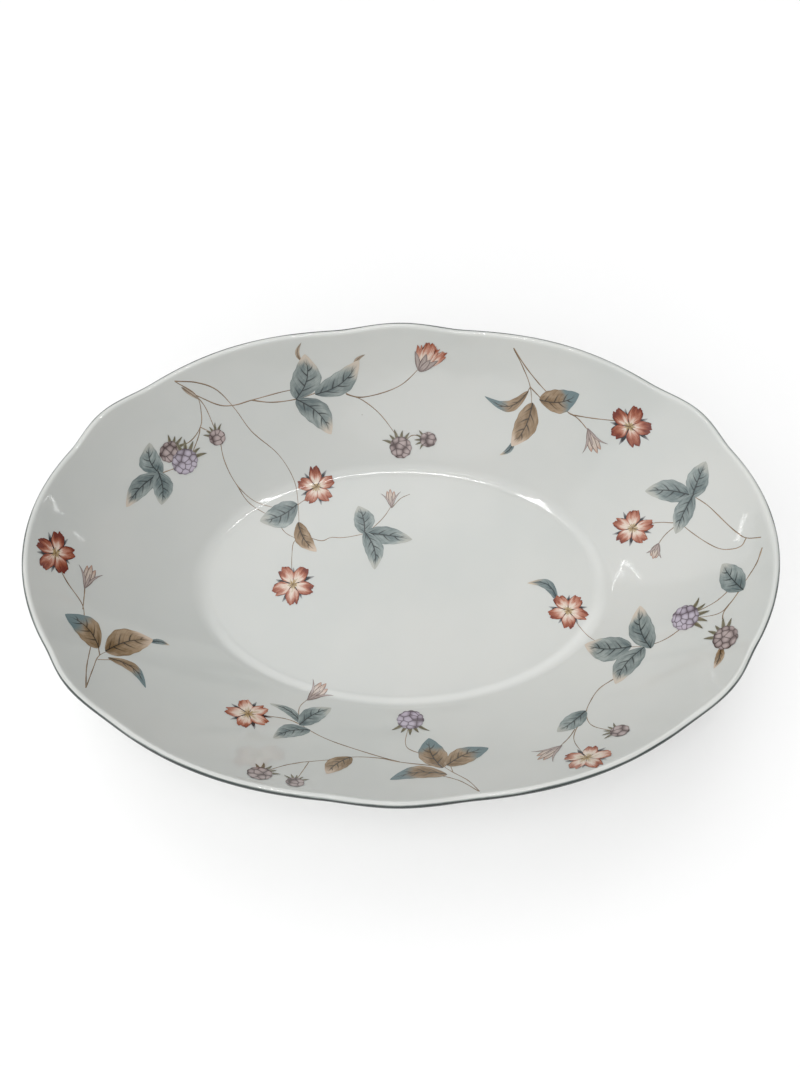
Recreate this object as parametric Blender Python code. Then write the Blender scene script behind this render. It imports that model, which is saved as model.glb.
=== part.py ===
"""Oval porcelain serving bowl with a lobed rim, a foot ring, a painted rim line and flower transfers.

Units are metres. +Z is up and +X runs along the bowl's length. The origin lies on the table under
the middle of the bowl.
"""

import math

import bmesh
import bpy
from mathutils import Vector
from mathutils.bvhtree import BVHTree
from mathutils.geometry import delaunay_2d_cdt

MM = 0.001

# Overall size, measured over the outside of the lip.
HALF_LENGTH = 0.1400
HALF_WIDTH = 0.0933
HEIGHT = 0.0620

# Foot ring and floor.
FOOT_HEIGHT = 0.0060
FOOT_HALF_LENGTH = 0.0795
FOOT_HALF_WIDTH = 0.0475
FLOOR_HALF_LENGTH = 0.0800
FLOOR_HALF_WIDTH = 0.0480
FLOOR_THICKNESS = 0.0040
GAP = 0.0003

# The wall's section is two arcs: a tight fillet off the floor, then a long sweep up to the lip.
FILLET_RADIUS = 0.014
FILLET_SLOPE = 35.0
SWEEP_RADIUS = 0.154
LIP_SLOPE = 60.0
LIP_RADIUS = 0.0015

# Flutes fade out below the lip as this power of the way up the wall.
FLUTE_FADE = 2.0

# Lobes of the rim in one quarter of the plan, from the end of the bowl round to its side:
# start and end in degrees, outline scale at both notches, bulge, rise above the notches, roundness.
LOBES = (
    (-25.0, 25.0, 1.0020, 1.0020, -0.0020, 0.0018, 1.0),
    (25.0, 45.0, 1.0020, 1.0115, 0.0080, 0.0022, 1.6),
    (45.0, 80.0, 1.0115, 1.0000, 0.0096, 0.0014, 1.2),
    (80.0, 100.0, 1.0000, 1.0000, 0.0108, 0.0014, 1.6),
)
LOBE_STEPS = (6, 6, 8, 3)
HIGHEST_RISE = 0.0022

# Rings of the mesh, as slopes of the inside wall, and steps over the lip.
WALL_SLOPES = (0.0, 12.0, 24.0, 35.0, 40.0, 45.0, 50.0, 55.0, 60.0)
LIP_STEPS = 4

# Foot ring section: how far in from its outer top edge, and how high.
FOOT_SECTION = (
    (0.0000, FOOT_HEIGHT),
    (0.0008, 0.0008),
    (0.0014, 0.0000),
    (0.0044, 0.0000),
    (0.0050, 0.0008),
    (0.0058, FOOT_HEIGHT),
)

# Painted line over the outer half of the lip: angles round the lip from its inside edge.
LINE_START = 95.0
LINE_END = 175.0
LINE_STEPS = 2
LINE_THICKNESS = 0.0003

# Steps for measuring tangents: round the plan in radians, and up the wall's section in degrees.
OUTLINE_TURN = 0.01
WALL_TURN = 0.004
WALL_TILT = 0.05

# Edges sharper than this many degrees stay crisp.
SHARP_EDGE = 40.0

# Flower transfers, fired onto the inside. Each is one thin film, cut close round its spray.
FILM_THICKNESS = 0.0003
STEM_WIDTH = 0.0009
LEAF_STEPS = 5
STEM_STEPS = 2
PETALS = 5
PETAL_STEPS = 4
PETAL_NOTCH = 0.25
BERRY_STEPS = 8
MERGE_DISTANCE = 1e-6

# Layout of each spray, in plan millimetres from the bowl's middle.
# stem: the points that it runs through. leaf: base, tip, width, sideways bow as a part of its length.
# flower: middle, radius. berry: middle, radius.
SPRAYS = {
    "transfer_back_left": {
        "stems": (
            ((-90, 69), (-82, 70.5), (-75, 70), (-69, 66), (-63, 60), (-53, 54), (-47, 46), (-45, 37),
             (-44, 26)),
            ((-40, 19), (-45.5, 18), (-46.5, 11), (-46, 0)),
            ((-90, 69), (-83, 67), (-82, 62), (-83, 58), (-87, 53), (-93, 49)),
            ((-83, 58), (-84, 55), (-87, 49)),
            ((-83, 58), (-78, 57)),
            ((-83, 67), (-80, 64), (-77, 57)),
            ((-83, 67), (-75, 66), (-69, 67), (-62, 69.5), (-51, 73), (-43, 75)),
            ((-62, 69.5), (-54, 70), (-44, 72), (-34, 75)),
            ((-28, 77), (-20, 74.5), (-12, 75), (0, 78), (9, 83)),
            ((-23, 75), (-16, 73.5), (-8, 69), (0, 61)),
            ((1, 60), (5, 63), (11, 62)),
            ((-101, 38), (-98, 40), (-91, 44)),
            ((-76, 56), (-75, 49), (-71, 41.5), (-64, 36), (-54, 33)),
            ((-71, 41.5), (-66, 35), (-56, 29)),
            ((-54, 28), (-50, 22), (-45, 19)),
            ((-47, 33), (-38, 40)),
            ((-41, 20), (-34, 18), (-30, 19.5), (-24, 19.5), (-14, 21.5)),
            ((-15, 21), (-8, 28), (-4, 34)),
            ((-4, 33), (0, 37.5), (4, 39.5)),
        ),
        "leaves": (
            ((-44, 72), (-39, 85), 12.5, -0.13),
            ((-36, 74), (-16.5, 85), 10.5, -0.12),
            ((-44, 72), (-30, 62.5), 10.5, 0.12),
            ((-99, 39), (-102, 48.5), 9, 0.16),
            ((-100, 39), (-111.5, 24), 8, -0.09),
            ((-100, 40), (-99.5, 28), 8.5, 0.08),
            ((-45, 35), (-61, 27), 11.5, 0.10),
            ((-44.5, 26.5), (-36, 13), 7, -0.10),
            ((-15.5, 21), (-18.5, 34), 9, -0.07),
            ((-16, 21.5), (5, 18.5), 8, 0.02),
            ((-15.5, 22), (-11, 5), 8, 0.12),
            ((-4, 33), (-4.5, 42), 4.5, 0.0),
            ((8, 81.5), (15.5, 87), 11, 0.0),
        ),
        "flowers": (((-37, 43), 8.3), ((-45.5, -1.5), 8.5)),
        "berries": (((-95, 47.5), 4.6), ((-90, 45.5), 5.6), ((-77, 56), 3.6), ((0, 59), 5.0),
                    ((12, 61.5), 3.6)),
    },
    "transfer_back_right": {
        "stems": (
            ((46, 84.5), (50, 80), (54, 74), (55.5, 67)),
            ((46, 84.5), (52, 79), (58.5, 73.5), (63, 70)),
            ((54, 74), (52, 71.5)),
            ((54, 74), (59, 70)),
            ((66, 69), (70, 64.5), (75, 62.5), (90, 58)),
            ((70, 64.5), (74, 62), (79, 57)),
        ),
        "leaves": (
            ((53.5, 73), (35.5, 73.5), 5.5, 0.31),
            ((55.5, 69.5), (48, 57), 9.5, 0.07),
            ((49, 59), (43, 54.5), 2.5, 0.14),
            ((58, 70), (73.5, 69), 11, -0.13),
            ((78, 58.5), (82.5, 49.5), 5.5, 0.0),
        ),
        "flowers": (((93.5, 55.5), 8.4),),
        "berries": (),
    },
    "transfer_right_end": {
        "stems": (
            ((135, 3), (131.5, 4.5), (129, 8), (122, 20), (116, 27)),
            ((131.5, 4.5), (130, 2), (127, 2), (123, 4.5), (115, 14.5), (113, 18)),
            ((114.5, 20), (113, 17.5), (106, 19.5), (99, 20)),
            ((113, 17.5), (108, 14), (104.5, 9)),
        ),
        "leaves": (
            ((117, 26), (101, 32.5), 9, -0.07),
            ((116.5, 25.5), (120, 36.5), 9, 0.01),
            ((117, 26.5), (111.5, 13.5), 8, -0.03),
            ((106, 11.5), (103.5, 5.5), 5.5, 0.0),
        ),
        "flowers": (((97.5, 19.5), 7.4),),
        "berries": (),
    },
    "transfer_front_right": {
        "stems": (
            ((135, -1), (133, -6.5), (129, -13)),
            ((128.5, -14), (124, -20), (120, -23), (112, -22.5)),
            ((127, -12), (121, -17.5), (113, -21)),
            ((124, -20), (121.5, -24), (120.5, -32)),
            ((112, -24), (104, -29.5), (97, -31.5), (90, -31)),
            ((97, -31), (94, -35)),
            ((84, -44), (77, -48.5), (72, -55), (70, -59)),
            ((70, -13), (76.5, -23), (81, -28)),
            ((70, -58), (71, -64), (79, -67.5)),
            ((68, -61), (63.5, -69), (65, -76)),
            ((65, -65), (62, -68.5), (58, -72)),
            ((119, -35), (116.5, -40)),
        ),
        "leaves": (
            ((128.5, -15.5), (124.5, -3), 10.5, 0.03),
            ((118, -37), (113.5, -45.5), 3.6, 0.07),
            ((98, -33), (97.5, -13.5), 10.5, 0.09),
            ((92, -31), (75.5, -28), 12, 0.08),
            ((96, -32), (83, -47), 10.5, -0.10),
            ((66, -9), (53.5, -1), 4.5, -0.27),
            ((70.5, -57.5), (58.5, -66), 8.5, 0.04),
            ((59, -71.5), (49, -77), 5.5, 0.0),
        ),
        "flowers": (((70, -13), 8.2), ((65.5, -77), 7.6)),
        "berries": (((111, -22), 5.7), ((120, -33.5), 5.3), ((79, -67), 3.6)),
    },
    "transfer_front": {
        "stems": (
            ((27.5, -89), (24, -84.5), (18, -80.5), (14, -77)),
            ((27.5, -89), (21, -84.5), (13, -82)),
            ((19, -81), (18, -77)),
            ((12, -74), (5, -72.5), (2, -69), (4, -59)),
            ((16, -79), (0, -77), (-7, -75.5), (-16, -75), (-23, -76), (-35, -77.5)),
            ((0, -77), (-10, -74), (-26, -68.5), (-35, -64), (-39, -61)),
            ((-35, -77.5), (-41, -79), (-48, -82)),
            ((-33, -77.5), (-36, -85)),
            ((-39, -61), (-40, -54.5), (-37, -50)),
            ((-38, -62), (-44.5, -59.5), (-57, -58)),
        ),
        "leaves": (
            ((15.5, -79.5), (11, -67), 10.5, 0.08),
            ((17, -78.5), (33, -71.5), 10.5, 0.10),
            ((17, -82), (-3.5, -84), 9, -0.17),
            ((-18, -75), (-26, -82), 8, -0.08),
            ((-38, -61.5), (-51.5, -53), 4, -0.14),
            ((-39, -62), (-27.5, -54), 8.5, 0.08),
            ((-34.5, -64), (-47.5, -68), 8, -0.13),
            ((-37.5, -51), (-30, -43.5), 6, 0.0),
        ),
        "flowers": (((-58.5, -58), 8.2),),
        "berries": (((4, -59), 5.6), ((-48.5, -82.5), 4.6), ((-36, -85.5), 3.4)),
    },
    "transfer_left_end": {
        "stems": (
            ((-111, -53.5), (-114, -44), (-116, -32)),
            ((-111, -53.5), (-112, -45), (-112, -39), (-108, -35)),
            ((-112, -39), (-114, -34)),
            ((-112, -41), (-107, -40)),
            ((-131, -3), (-127, -11), (-121.5, -19), (-119.5, -26)),
            ((-122, -11), (-121, -21)),
        ),
        "leaves": (
            ((-113, -36), (-125, -24.5), 11.5, -0.16),
            ((-111, -37), (-98, -29), 12, 0.09),
            ((-99, -30), (-92, -30.5), 2.5, 0.1),
            ((-109.5, -39.5), (-95, -50.5), 5.2, 0.22),
            ((-122, -12.5), (-121, -2), 5.5, 0.0),
        ),
        "flowers": (((-131, -1), 8.0),),
        "berries": (),
    },
}


def folded_degrees(angle):
    """Folds an angle round the plan into the first quarter, in degrees."""
    return math.degrees(math.acos(min(1.0, abs(math.cos(angle)))))


def lobe_wave(angle):
    """Returns the outline's scale and the lip's rise at an angle round the plan."""
    degrees = folded_degrees(angle)
    for start, end, start_scale, end_scale, bulge, rise, roundness in LOBES:
        if start <= degrees <= end:
            across = (degrees - start) / (end - start)
            wave = math.sin(math.pi * across) ** roundness
            scale = start_scale + (end_scale - start_scale) * across + bulge * wave
            return scale, rise * wave
    return 1.0, 0.0


def outline(angle, lobed):
    """Returns a plan point on the outside of the lip, with its lobes or without."""
    scale = lobe_wave(angle)[0] if lobed else 1.0
    return Vector((HALF_LENGTH * scale * math.cos(angle), HALF_WIDTH * scale * math.sin(angle), 0.0))


def outline_normal(angle, lobed):
    """Returns the outline's outward normal in plan."""
    along = outline(angle + OUTLINE_TURN, lobed) - outline(angle - OUTLINE_TURN, lobed)
    return Vector((along.y, -along.x, 0.0)).normalized()


def wall_top(angle, lobed):
    """Returns the inside edge of the lip, where the wall ends."""
    rise = lobe_wave(angle)[1] if lobed else 0.0
    slope = math.radians(LIP_SLOPE)
    inset = LIP_RADIUS * (1.0 + math.sin(slope))
    point = outline(angle, lobed) - outline_normal(angle, lobed) * inset
    point.z = HEIGHT - HIGHEST_RISE + rise - LIP_RADIUS * (1.0 - math.cos(slope))
    return point


def section(slope_degrees):
    """Returns how far out and how far up the wall's section is, from 0 to 1, at a slope."""
    slope = math.radians(slope_degrees)
    bend = math.radians(FILLET_SLOPE)
    top = math.radians(LIP_SLOPE)

    def reach(value):
        low = min(value, bend)
        out = FILLET_RADIUS * math.sin(low)
        up = FILLET_RADIUS * (1.0 - math.cos(low))
        if value > bend:
            out += SWEEP_RADIUS * (math.sin(value) - math.sin(bend))
            up += SWEEP_RADIUS * (math.cos(bend) - math.cos(value))
        return out, up

    out, up = reach(slope)
    full_out, full_up = reach(top)
    return out / full_out, up / full_up


def inside_point(angle, slope_degrees):
    """Returns a point of the bowl's inside wall."""
    out, up = section(slope_degrees)
    floor_z = FOOT_HEIGHT + GAP + FLOOR_THICKNESS
    foot = Vector((FLOOR_HALF_LENGTH * math.cos(angle), FLOOR_HALF_WIDTH * math.sin(angle), floor_z))
    plain = wall_top(angle, False)
    top = plain + (wall_top(angle, True) - plain) * out ** FLUTE_FADE
    return Vector((
        foot.x + (top.x - foot.x) * out,
        foot.y + (top.y - foot.y) * out,
        floor_z + (top.z - floor_z) * up,
    ))


def wall_frame(angle, slope_degrees):
    """Returns the wall's outward normal and its upward tangent."""
    low = max(slope_degrees - WALL_TILT, 0.0)
    high = min(slope_degrees + WALL_TILT, LIP_SLOPE)
    ahead = inside_point(angle + WALL_TURN, slope_degrees)
    behind = inside_point(angle - WALL_TURN, slope_degrees)
    upward = (inside_point(angle, high) - inside_point(angle, low)).normalized()
    normal = (ahead - behind).cross(upward).normalized()
    return normal, upward


def wall_thickness(slope_degrees):
    """Thins the wall from the floor's thickness to twice the lip's radius."""
    out = section(slope_degrees)[0]
    return FLOOR_THICKNESS + (2.0 * LIP_RADIUS - FLOOR_THICKNESS) * out


def outside_point(angle, slope_degrees):
    """Returns the point of the outside wall opposite an inside point."""
    normal = wall_frame(angle, slope_degrees)[0]
    return inside_point(angle, slope_degrees) + normal * wall_thickness(slope_degrees)


def lip_point(angle, turn_degrees, clearance=0.0):
    """Returns a point round the lip, from its inside edge at 0 to its outside edge at 180."""
    normal, upward = wall_frame(angle, LIP_SLOPE)
    centre = inside_point(angle, LIP_SLOPE) + normal * LIP_RADIUS
    turn = math.radians(turn_degrees)
    radius = LIP_RADIUS + clearance
    return centre + (upward * math.sin(turn) - normal * math.cos(turn)) * radius


def plan_angles():
    """Returns angles round the whole plan, with a step on every notch and lobe."""
    quarter = []
    for lobe, steps in zip(LOBES, LOBE_STEPS):
        first = max(lobe[0], 0.0)
        last = min(lobe[1], 90.0)
        quarter += [first + (last - first) * step / steps for step in range(steps)]
    half = quarter + [90.0] + [180.0 - value for value in reversed(quarter[1:])]
    return [math.radians(value + turn) for turn in (0.0, 180.0) for value in half]


def add_ring(mesh, function, *arguments):
    """Adds a closed ring of vertices, one for each plan angle."""
    return [mesh.verts.new(function(angle, *arguments)) for angle in plan_angles()]


def bridge(mesh, first, second):
    """Joins two rings with a band of quads."""
    count = len(first)
    for index in range(count):
        following = (index + 1) % count
        mesh.faces.new((first[index], first[following], second[following], second[index]))


def material(name, colour, roughness):
    """Makes a glossy or matt material that isn't metallic."""
    made = bpy.data.materials.new(name)
    made.use_nodes = True
    shader = made.node_tree.nodes["Principled BSDF"]
    shader.inputs["Base Color"].default_value = (*colour, 1.0)
    shader.inputs["Roughness"].default_value = roughness
    shader.inputs["Metallic"].default_value = 0.0
    return made


def add_object(name, mesh, finish):
    """Makes a smooth-shaded object from a bmesh, under the bowl's empty."""
    bmesh.ops.recalc_face_normals(mesh, faces=mesh.faces)
    data = bpy.data.meshes.new(name)
    mesh.to_mesh(data)
    mesh.free()
    data.materials.append(finish)
    data.shade_smooth()
    data.set_sharp_from_angle(angle=math.radians(SHARP_EDGE))
    made = bpy.data.objects.new(name, data)
    made.parent = bpy.data.objects["serving_bowl"]
    bpy.context.scene.collection.objects.link(made)
    return made


def make_body():
    """Makes the glazed body: floor, wall and rounded lip in one."""
    mesh = bmesh.new()
    rings = [add_ring(mesh, inside_point, slope) for slope in WALL_SLOPES]
    for step in range(1, LIP_STEPS):
        rings.append(add_ring(mesh, lip_point, 180.0 * step / LIP_STEPS))
    rings += [add_ring(mesh, outside_point, slope) for slope in reversed(WALL_SLOPES)]
    for first, second in zip(rings, rings[1:]):
        bridge(mesh, first, second)
    mesh.faces.new(rings[0])
    mesh.faces.new(rings[-1])
    return add_object("bowl_body", mesh, material("glazed_porcelain", (0.80, 0.81, 0.79), 0.08))


def foot_point(angle, inset, height):
    """Returns a point of the foot ring's section, set in from its outer top edge."""
    out = Vector((FOOT_HALF_WIDTH * math.cos(angle), FOOT_HALF_LENGTH * math.sin(angle), 0.0)).normalized()
    x = FOOT_HALF_LENGTH * math.cos(angle) - out.x * inset
    y = FOOT_HALF_WIDTH * math.sin(angle) - out.y * inset
    return Vector((x, y, height))


def make_foot_ring():
    """Makes the bare ring that the bowl stands on, tapered and eased at its lower edges."""
    mesh = bmesh.new()
    rings = [add_ring(mesh, foot_point, inset, height) for inset, height in FOOT_SECTION]
    for first, second in zip(rings, rings[1:] + rings[:1]):
        bridge(mesh, first, second)
    return add_object("foot_ring", mesh, material("bare_porcelain", (0.72, 0.69, 0.63), 0.75))


def make_rim_line():
    """Makes the painted line, a thin band wrapped over the outer half of the lip."""
    mesh = bmesh.new()
    turns = [LINE_START + (LINE_END - LINE_START) * step / LINE_STEPS for step in range(LINE_STEPS + 1)]
    rings = [add_ring(mesh, lip_point, turn, GAP) for turn in turns]
    rings += [add_ring(mesh, lip_point, turn, GAP + LINE_THICKNESS) for turn in reversed(turns)]
    for first, second in zip(rings, rings[1:] + rings[:1]):
        bridge(mesh, first, second)
    return add_object("rim_line", mesh, material("rim_line_enamel", (0.05, 0.09, 0.09), 0.25))


class Surface:
    """Finds the inside of the bowl under a plan point."""

    def __init__(self, body):
        data = body.data
        corners = [vertex.co for vertex in data.vertices]
        self.tree = BVHTree.FromPolygons(corners, [face.vertices for face in data.polygons])

    def drop(self, x, y):
        """Returns the point and the normal straight below a plan point."""
        point, normal, _, _ = self.tree.ray_cast(Vector((x, y, 2.0 * HEIGHT)), Vector((0.0, 0.0, -1.0)))
        return point, normal


def lay(base, along, side, offsets):
    """Turns offsets along and across a tangent frame into plan points."""
    points = [base + along * ahead + side * across for ahead, across in offsets]
    return [point.xy for point in points]


def leaf_outline(surface, base, tip, width, bow):
    """Returns a pointed leaf's outline, bowed to one side."""
    start, _ = surface.drop(base[0] * MM, base[1] * MM)
    end, _ = surface.drop(tip[0] * MM, tip[1] * MM)
    _, normal = surface.drop(0.5 * (start.x + end.x), 0.5 * (start.y + end.y))
    length = (end - start).length
    along = (end - start).normalized()
    side = normal.cross(along).normalized()
    steps = [index / LEAF_STEPS for index in range(1, LEAF_STEPS)]

    def edge(step, sign):
        middle = bow * length * math.sin(math.pi * step)
        return step * length, middle + sign * 0.5 * width * MM * math.sin(math.pi * step ** 0.8)

    offsets = [(0.0, 0.0)] + [edge(step, -1.0) for step in steps]
    offsets += [(length, 0.0)] + [edge(step, 1.0) for step in reversed(steps)]
    return lay(start, along, side, offsets)


def round_outline(surface, middle, radius, count, wave=0.0):
    """Returns a round outline, with petals where a wave is given."""
    centre, normal = surface.drop(middle[0] * MM, middle[1] * MM)
    along = Vector((0.0, 1.0, 0.0)).cross(normal).normalized()
    side = normal.cross(along).normalized()
    offsets = []
    for index in range(count):
        angle = 2.0 * math.pi * index / count
        reach = radius * MM * (1.0 - wave * (1.0 - abs(math.cos(0.5 * PETALS * angle))))
        offsets.append((reach * math.cos(angle), reach * math.sin(angle)))
    return lay(centre, along, side, offsets)


def stem_outline(points):
    """Returns the outline of a thin strip along a smooth curve through its points."""
    knots = [Vector(point) * MM for point in points]
    knots = [2.0 * knots[0] - knots[1]] + knots + [2.0 * knots[-1] - knots[-2]]
    line = []
    for index in range(1, len(knots) - 2):
        before, first, second, after = knots[index - 1:index + 3]
        for step in range(STEM_STEPS):
            t = step / STEM_STEPS
            bend = (2.0 * before - 5.0 * first + 4.0 * second - after) * t * t
            twist = (3.0 * first - before - 3.0 * second + after) * t * t * t
            line.append(first + 0.5 * ((second - before) * t + bend + twist))
    line.append(knots[-2])
    left = []
    right = []
    for index, point in enumerate(line):
        ahead = line[min(index + 1, len(line) - 1)] - line[max(index - 1, 0)]
        across = Vector((-ahead.y, ahead.x)).normalized() * 0.5 * STEM_WIDTH
        left.append(point + across)
        right.append(point - across)
    return right + left[::-1]


def spray_outlines(surface, spray):
    """Returns the outlines of everything in a spray, in plan."""
    outlines = [stem_outline(points) for points in spray["stems"]]
    outlines += [leaf_outline(surface, *leaf) for leaf in spray["leaves"]]
    for flower in spray["flowers"]:
        outlines.append(round_outline(surface, *flower, PETALS * PETAL_STEPS, PETAL_NOTCH))
    outlines += [round_outline(surface, *berry, BERRY_STEPS) for berry in spray["berries"]]
    return outlines


def make_transfer(surface, name, spray, finish):
    """Joins a spray's outlines into one sheet, lays it on the glaze and gives it its thickness."""
    corners = []
    shapes = []
    for outline_points in spray_outlines(surface, spray):
        shapes.append(list(range(len(corners), len(corners) + len(outline_points))))
        corners += outline_points
    points, _, faces, _, _, origins = delaunay_2d_cdt(corners, [], shapes, 0, MERGE_DISTANCE)
    faces = [face for face, origin in zip(faces, origins) if origin]
    mesh = bmesh.new()
    under = []
    upper = []
    for x, y in points:
        point, normal = surface.drop(x, y)
        under.append(mesh.verts.new(point + normal * GAP))
        upper.append(mesh.verts.new(point + normal * (GAP + FILM_THICKNESS)))
    sides = {}
    for face in faces:
        for first, second in zip(face, list(face[1:]) + [face[0]]):
            sides[first, second] = True
    for face in faces:
        mesh.faces.new([upper[index] for index in face])
        mesh.faces.new([under[index] for index in reversed(face)])
    for first, second in sides:
        if (second, first) not in sides:
            mesh.faces.new((upper[second], upper[first], under[first], under[second]))
    loose = [vertex for vertex in mesh.verts if not vertex.link_faces]
    bmesh.ops.delete(mesh, geom=loose, context="VERTS")
    return add_object(name, mesh, finish)


def main():
    """Clears the scene and builds every piece of the bowl."""
    for old in list(bpy.data.objects):
        bpy.data.objects.remove(old, do_unlink=True)
    root = bpy.data.objects.new("serving_bowl", None)
    bpy.context.scene.collection.objects.link(root)
    body = make_body()
    make_foot_ring()
    make_rim_line()
    surface = Surface(body)
    for name, spray in SPRAYS.items():
        make_transfer(surface, name, spray, material(name + "_colours", (0.36, 0.38, 0.38), 0.12))


main()
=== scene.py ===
"""Looks for the oval porcelain serving bowl: glaze, foot, painted rim line and flower transfers.

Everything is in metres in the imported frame: +Z up, +X along the bowl, origin on the table.
"""

import math
import random

import bpy
import numpy as np
from mathutils import Matrix, Vector
from mathutils.bvhtree import BVHTree


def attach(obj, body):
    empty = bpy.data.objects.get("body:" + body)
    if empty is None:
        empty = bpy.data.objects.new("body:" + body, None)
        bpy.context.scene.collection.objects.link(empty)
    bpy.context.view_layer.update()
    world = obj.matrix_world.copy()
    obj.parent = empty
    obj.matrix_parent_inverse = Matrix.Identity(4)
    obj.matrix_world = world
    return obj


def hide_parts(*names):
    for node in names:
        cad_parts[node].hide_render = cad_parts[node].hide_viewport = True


MM = 0.001

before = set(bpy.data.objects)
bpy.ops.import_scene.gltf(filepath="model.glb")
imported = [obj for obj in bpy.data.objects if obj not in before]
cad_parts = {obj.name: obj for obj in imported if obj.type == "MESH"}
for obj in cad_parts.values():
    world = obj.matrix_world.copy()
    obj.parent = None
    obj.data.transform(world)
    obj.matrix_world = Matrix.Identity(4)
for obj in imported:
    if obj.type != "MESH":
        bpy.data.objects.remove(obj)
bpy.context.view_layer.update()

# Shape of the bowl, by the same sizes and formulas as the CAD source. Lengths are in metres.
HALF_LENGTH = 0.1400
HALF_WIDTH = 0.0933
HEIGHT = 0.0620
HIGHEST_RISE = 0.0022
FOOT_HEIGHT = 0.0060
FOOT_HALF_LENGTH = 0.0795
FOOT_HALF_WIDTH = 0.0475
FLOOR_HALF_LENGTH = 0.0800
FLOOR_HALF_WIDTH = 0.0480
FLOOR_THICKNESS = 0.0040
GAP = 0.0003
FILLET_RADIUS = 0.014
FILLET_SLOPE = 35.0
SWEEP_RADIUS = 0.154
LIP_SLOPE = 60.0
LIP_RADIUS = 0.0015
# The lobes fade out down the wall as this power of how far out it is.
FLUTE_FADE = 2.0
FLOOR_Z = FOOT_HEIGHT + GAP + FLOOR_THICKNESS
# Each lobe, in degrees from the bowl's long axis: start, end, the outline's scale at both, how far it bulges,
# how high the lip rises, and how round it is.
LOBES = (
    (-25.0, 25.0, 1.0020, 1.0020, -0.0020, 0.0018, 1.0),
    (25.0, 45.0, 1.0020, 1.0115, 0.0080, 0.0022, 1.6),
    (45.0, 80.0, 1.0115, 1.0000, 0.0096, 0.0014, 1.2),
    (80.0, 100.0, 1.0000, 1.0000, 0.0108, 0.0014, 1.6),
)

# Turns, in radians, over which the glaze eases a notch.
NOTCH_EASING = (-0.018, -0.009, 0.0, 0.009, 0.018)

# Small steps, in radians and degrees, for taking slopes by difference.
PLAN_STEP = 0.01
AROUND_STEP = 0.004
SLOPE_STEP = 0.05

# Fineness of the glazed body's mesh.
PLAN_STEPS = 480
FLOOR_RINGS = 14
FILLET_RINGS = 24
SWEEP_RINGS = 50
LIP_RINGS = 16
OUTSIDE_RINGS = 42
FLARE_RINGS = 10
COVE_RINGS = 8
UNDER_RINGS = 10

# The foot's glazed flank meets the outside wall in a soft flare, and the glaze stops short of the table.
FLARE_SLOPE = 23.0
FLARE_START = 0.0030
FLARE_FULLNESS = 0.97
GLAZE_EDGE = 0.0012
GLAZE_THICKNESS = 0.00012
FOOT_TAPER = 0.0008
FLANK_HEIGHTS = (0.0024, 0.0018, 0.0014)

# Inside the foot, a leaning face ends in a rounded cove under the floor.
FOOT_INNER = 0.0050
INNER_HEIGHTS = (0.0014, 0.0024, 0.0034)
INNER_LEAN = 0.15
COVE_WIDTH = 0.0032
UNDER_MIDDLE = 0.08


# ---------------------------------------------------------------- shape

def unit(vectors):
    """Scales vectors to length one."""
    return vectors / np.linalg.norm(vectors, axis=-1, keepdims=True)


def sharp_wave(angle):
    """Returns the outline's scale and the lip's rise at plan angles, with sharp notches."""
    degrees = np.degrees(np.arccos(np.clip(np.abs(np.cos(angle)), 0.0, 1.0)))
    scale = np.ones_like(degrees)
    rise = np.zeros_like(degrees)
    for start, end, start_scale, end_scale, bulge, height, roundness in LOBES:
        within = (degrees >= start) & (degrees <= end)
        across = np.clip((degrees - start) / (end - start), 0.0, 1.0)
        wave = np.sin(np.pi * across) ** roundness
        scale = np.where(within, start_scale + (end_scale - start_scale) * across + bulge * wave, scale)
        rise = np.where(within, height * wave, rise)
    return scale, rise


def lobe_wave(angle):
    """Eases the notches, as the glaze does."""
    scale = 0.0
    rise = 0.0
    for shift in NOTCH_EASING:
        part_scale, part_rise = sharp_wave(angle + shift)
        scale = scale + part_scale / len(NOTCH_EASING)
        rise = rise + part_rise / len(NOTCH_EASING)
    return scale, rise


def outline(angle, lobed):
    """Returns plan points on the outside of the lip."""
    scale = lobe_wave(angle)[0] if lobed else 1.0
    return np.stack([HALF_LENGTH * scale * np.cos(angle), HALF_WIDTH * scale * np.sin(angle)], axis=-1)


def wall_top(angle, lobed):
    """Returns the lip's inside edge, where the wall ends."""
    along = outline(angle + PLAN_STEP, lobed) - outline(angle - PLAN_STEP, lobed)
    outward = unit(np.stack([along[..., 1], -along[..., 0]], axis=-1))
    slope = math.radians(LIP_SLOPE)
    rise = lobe_wave(angle)[1] if lobed else np.zeros_like(angle)
    flat = outline(angle, lobed) - outward * LIP_RADIUS * (1.0 + math.sin(slope))
    height = HEIGHT - HIGHEST_RISE + rise - LIP_RADIUS * (1.0 - math.cos(slope))
    return np.concatenate([flat, height[..., None]], axis=-1)


def section(slope_degrees):
    """Returns how far out and up the wall's section is, from 0 to 1, at a slope."""
    bend = math.radians(FILLET_SLOPE)

    def reach(value):
        low = min(value, bend)
        past = max(value, bend)
        out = FILLET_RADIUS * math.sin(low) + SWEEP_RADIUS * (math.sin(past) - math.sin(bend))
        up = FILLET_RADIUS * (1.0 - math.cos(low)) + SWEEP_RADIUS * (math.cos(bend) - math.cos(past))
        return np.array((out, up))

    return reach(math.radians(slope_degrees)) / reach(math.radians(LIP_SLOPE))


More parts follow.
